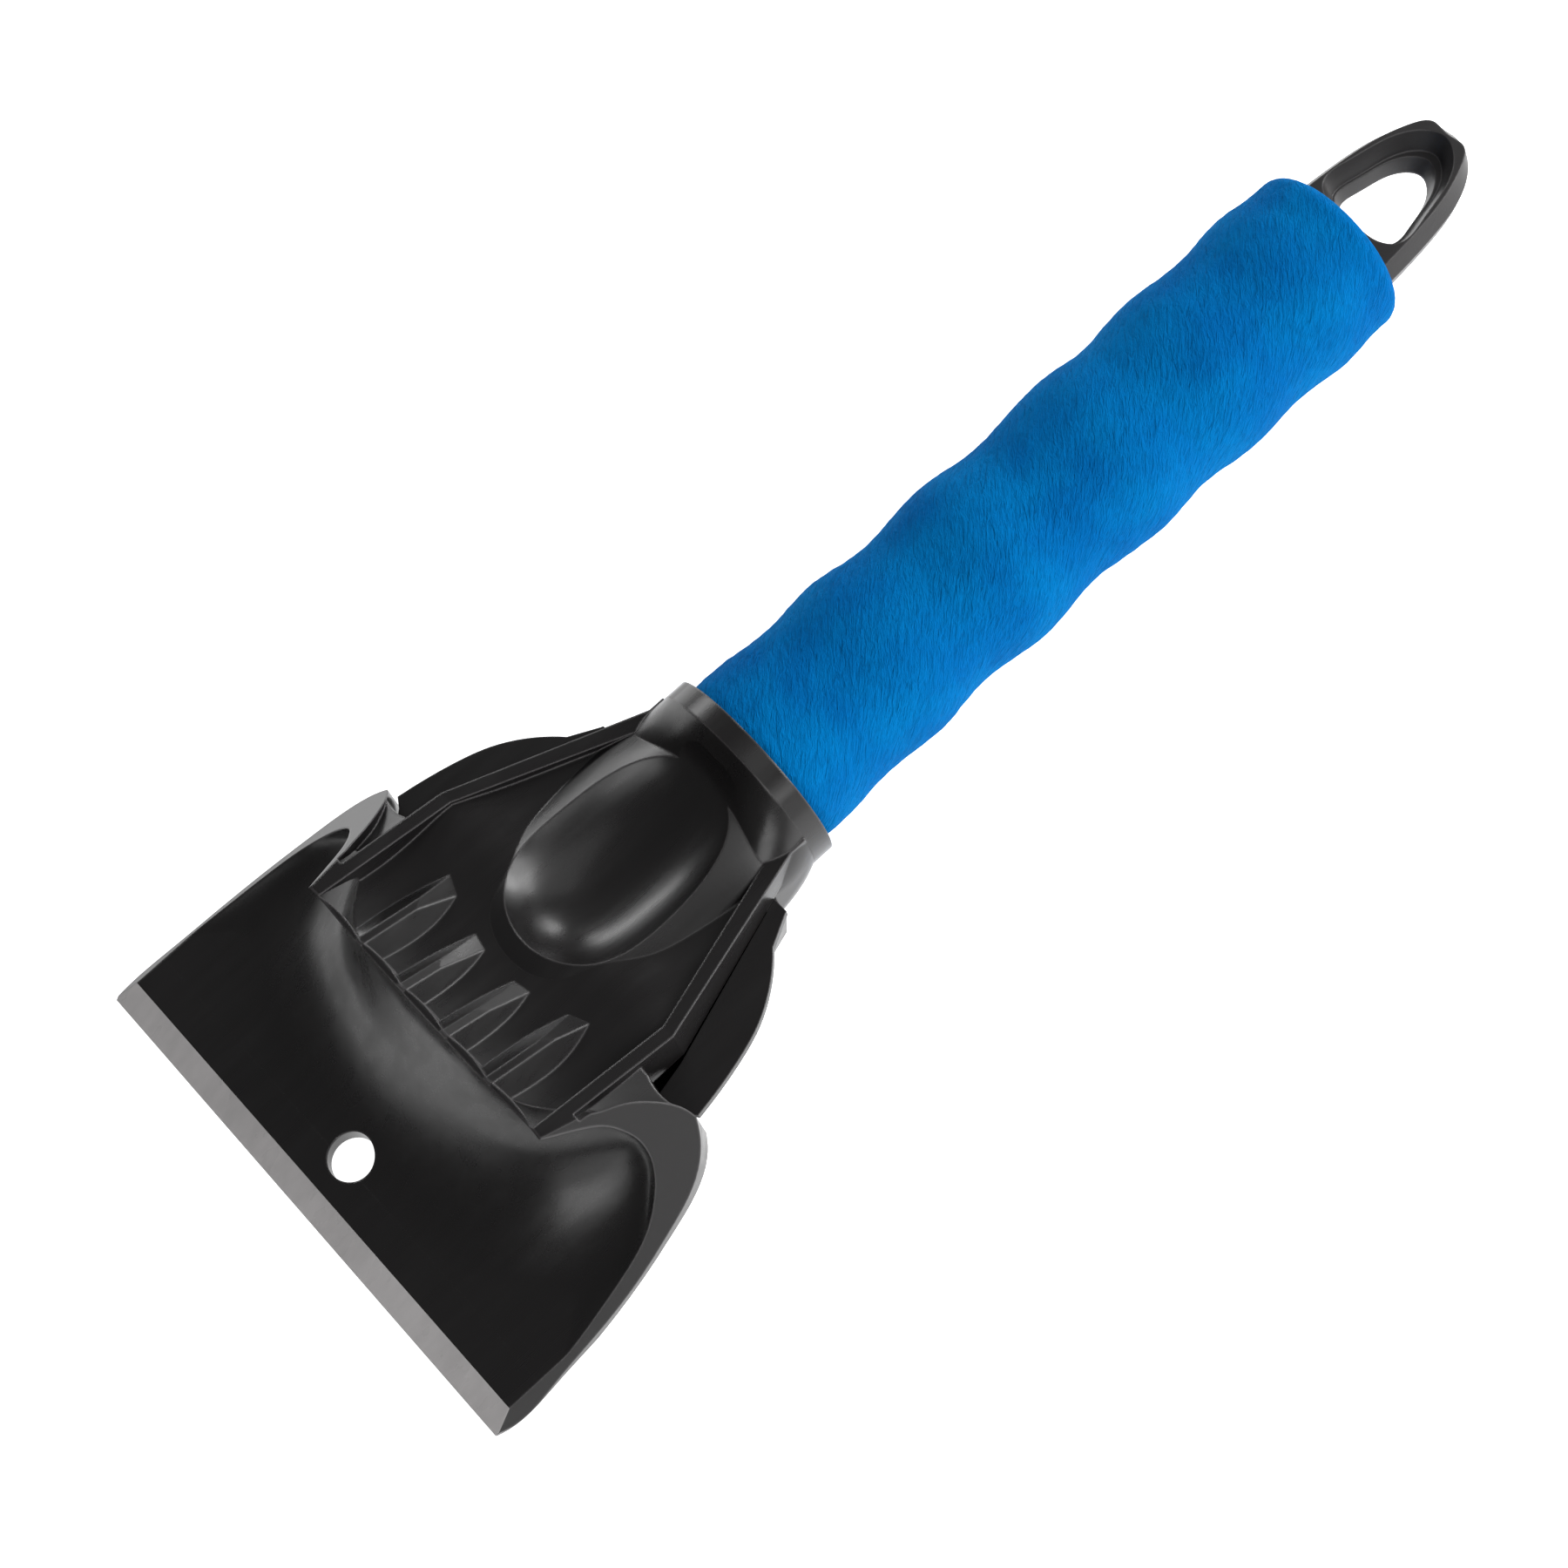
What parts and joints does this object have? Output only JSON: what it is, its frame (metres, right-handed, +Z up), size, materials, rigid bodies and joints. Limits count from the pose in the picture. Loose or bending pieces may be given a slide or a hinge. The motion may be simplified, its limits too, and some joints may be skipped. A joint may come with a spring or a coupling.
{
  "type": "windshield ice scraper",
  "caption": "Hand-held windshield ice scraper: flared blade head with a thumb rest, foam-sleeved round handle and a hanging loop at the end.",
  "frame": {"origin": "on the surface that the scraper rests on, under the middle of its length and width", "axes": "+X along the handle from the blade towards the hanging loop, +Y across the blade, +Z up"},
  "size_m": [0.288, 0.1122, 0.0396],
  "materials": {
    "head_plastic": "gloss",
    "underplate_plastic": "gloss",
    "core_plastic": "satin",
    "loop_plastic": "satin",
    "grip_foam": "matte"
  },
  "bodies": {
    "root": {"scraper_head": "head_plastic", "head_underplate": "underplate_plastic", "handle_core": "core_plastic", "hang_loop": "loop_plastic", "foam_grip": "grip_foam"}
  },
  "joints": []
}
